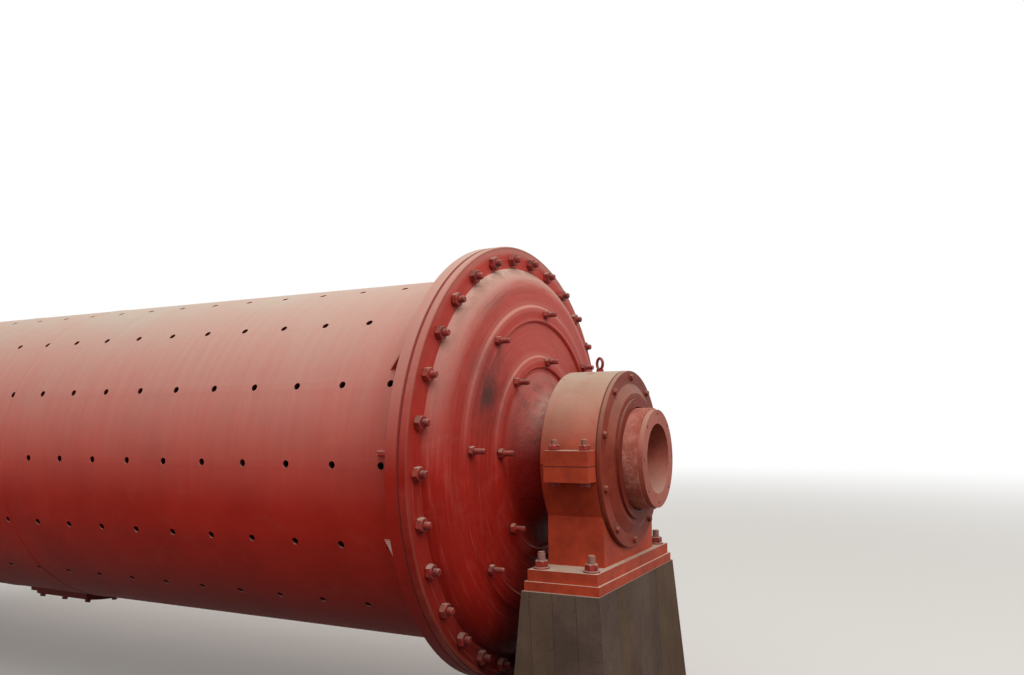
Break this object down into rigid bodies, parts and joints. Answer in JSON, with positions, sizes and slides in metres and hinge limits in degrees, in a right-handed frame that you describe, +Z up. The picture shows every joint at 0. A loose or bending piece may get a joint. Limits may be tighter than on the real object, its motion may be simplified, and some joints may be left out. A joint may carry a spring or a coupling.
{
  "type": "ball mill",
  "caption": "Horizontal ball mill with a perforated red drum, bolted dished heads, split bearing housings, a girth gear and two battered concrete piers.",
  "frame": {"origin": "on the ground below the middle of the drum", "axes": "+X along the drum towards the feed end, +Y across it, +Z up"},
  "size_m": [7.973, 2.6796, 2.7898],
  "materials": {
    "red_primer": "satin",
    "liner_steel": "matte",
    "sleeve_paint": "matte",
    "gear_steel": "satin",
    "bearing_paint": "matte",
    "eye_steel": "matte",
    "pier_concrete": "matte"
  },
  "bodies": {
    "frame": {"near_bearing_base": "bearing_paint", "near_bearing_cap": "bearing_paint", "near_end_cover": "bearing_paint", "near_seal_ring": "bearing_paint", "near_lifting_eye": "eye_steel", "near_sole_plate": "bearing_paint", "near_pier": "pier_concrete", "far_bearing_base": "bearing_paint", "far_bearing_cap": "bearing_paint", "far_end_cover": "bearing_paint", "far_seal_ring": "bearing_paint", "far_lifting_eye": "eye_steel", "far_sole_plate": "bearing_paint", "far_pier": "pier_concrete"},
    "drum": {"shell_near_course": "red_primer", "shell_middle_course": "red_primer", "shell_far_course": "red_primer", "near_shell_flange": "red_primer", "far_shell_flange": "red_primer", "near_gussets": "red_primer", "near_head": "red_primer", "far_head": "red_primer", "near_head_liner": "liner_steel", "far_head_liner": "liner_steel", "near_inlet_sleeve": "sleeve_paint", "far_outlet_sleeve": "sleeve_paint", "girth_gear_upper_half": "gear_steel", "girth_gear_lower_half": "gear_steel", "manhole_frame": "red_primer", "manhole_cover": "red_primer"}
  },
  "joints": [
    {"name": "drum_spin", "type": "hinge", "parent": "frame", "child": "drum", "pos_m": [0, 0, 1.45], "axis": [1, 0, 0], "continuous": true}
  ]
}
